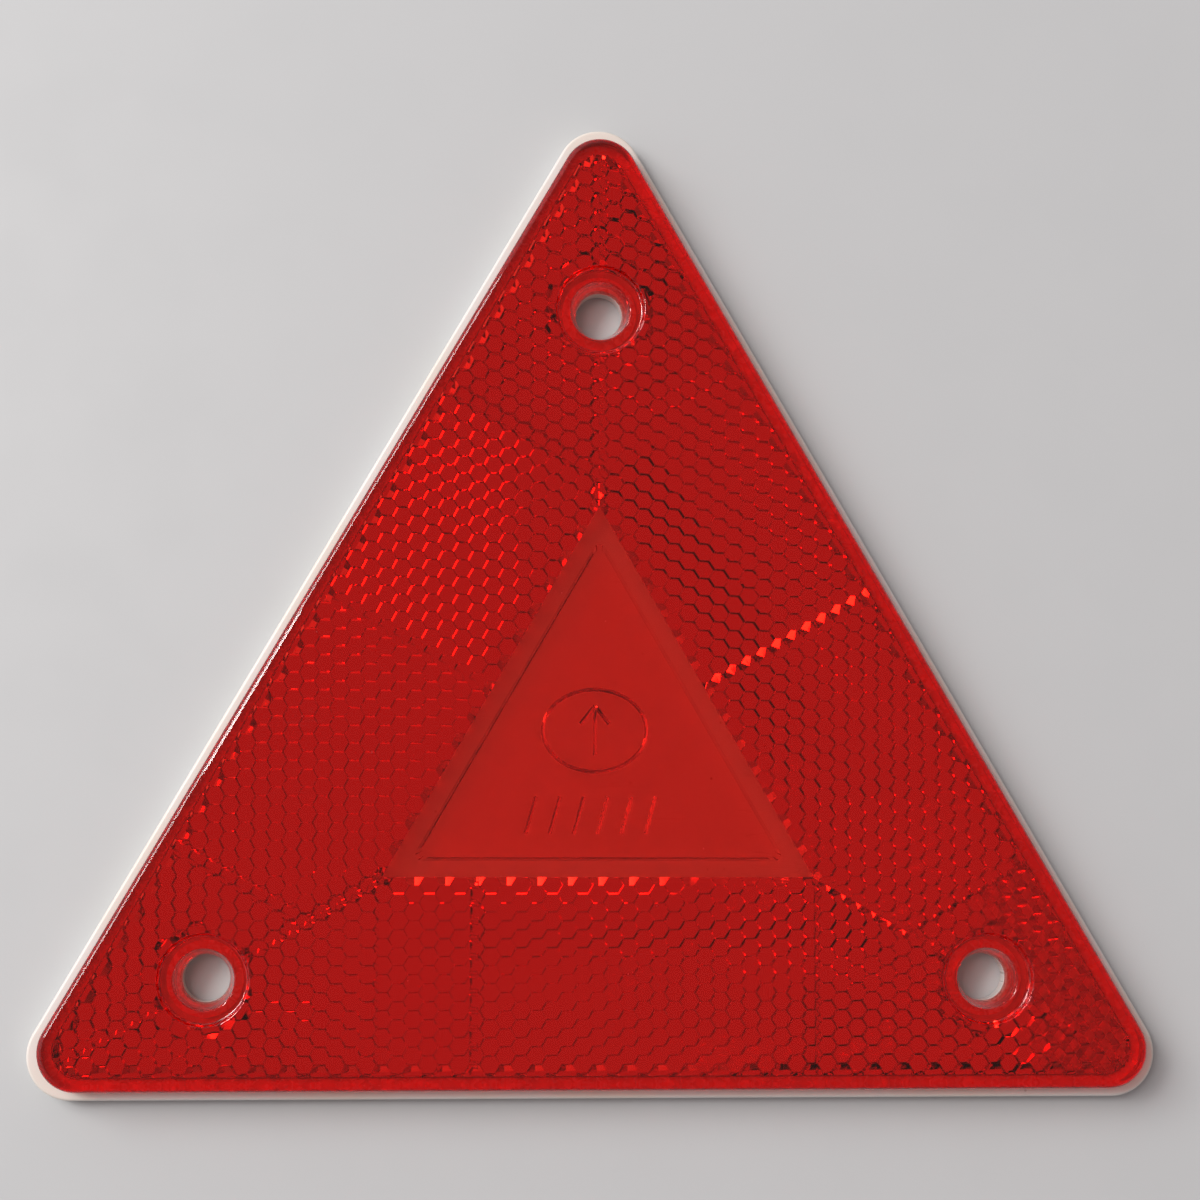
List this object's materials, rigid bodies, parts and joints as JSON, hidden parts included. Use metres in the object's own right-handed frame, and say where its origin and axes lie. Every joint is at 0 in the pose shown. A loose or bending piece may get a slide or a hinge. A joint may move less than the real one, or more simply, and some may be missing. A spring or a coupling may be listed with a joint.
{
  "type": "triangular retro-reflector",
  "caption": "Red triangular retro-reflector for a trailer: clear red lens with corner-cube prisms and a plain window, welded to a white back plate, with a screw hole in each corner.",
  "frame": {"origin": "centre of the circle through the three screw holes, on the mounting face of the back plate", "axes": "+Z out of the mounting face towards the front of the lens, +Y towards one corner of the triangle, X along its flat side"},
  "size_m": [0.155, 0.1359, 0.0075],
  "materials": {
    "white_plastic": "satin",
    "red_lens": "gloss",
    "weld_bead": "satin"
  },
  "bodies": {
    "root": {"back_plate": "white_plastic", "lens": "red_lens", "perimeter_weld": "weld_bead", "hole_weld_top": "weld_bead", "hole_weld_left": "weld_bead", "hole_weld_right": "weld_bead"}
  },
  "joints": []
}
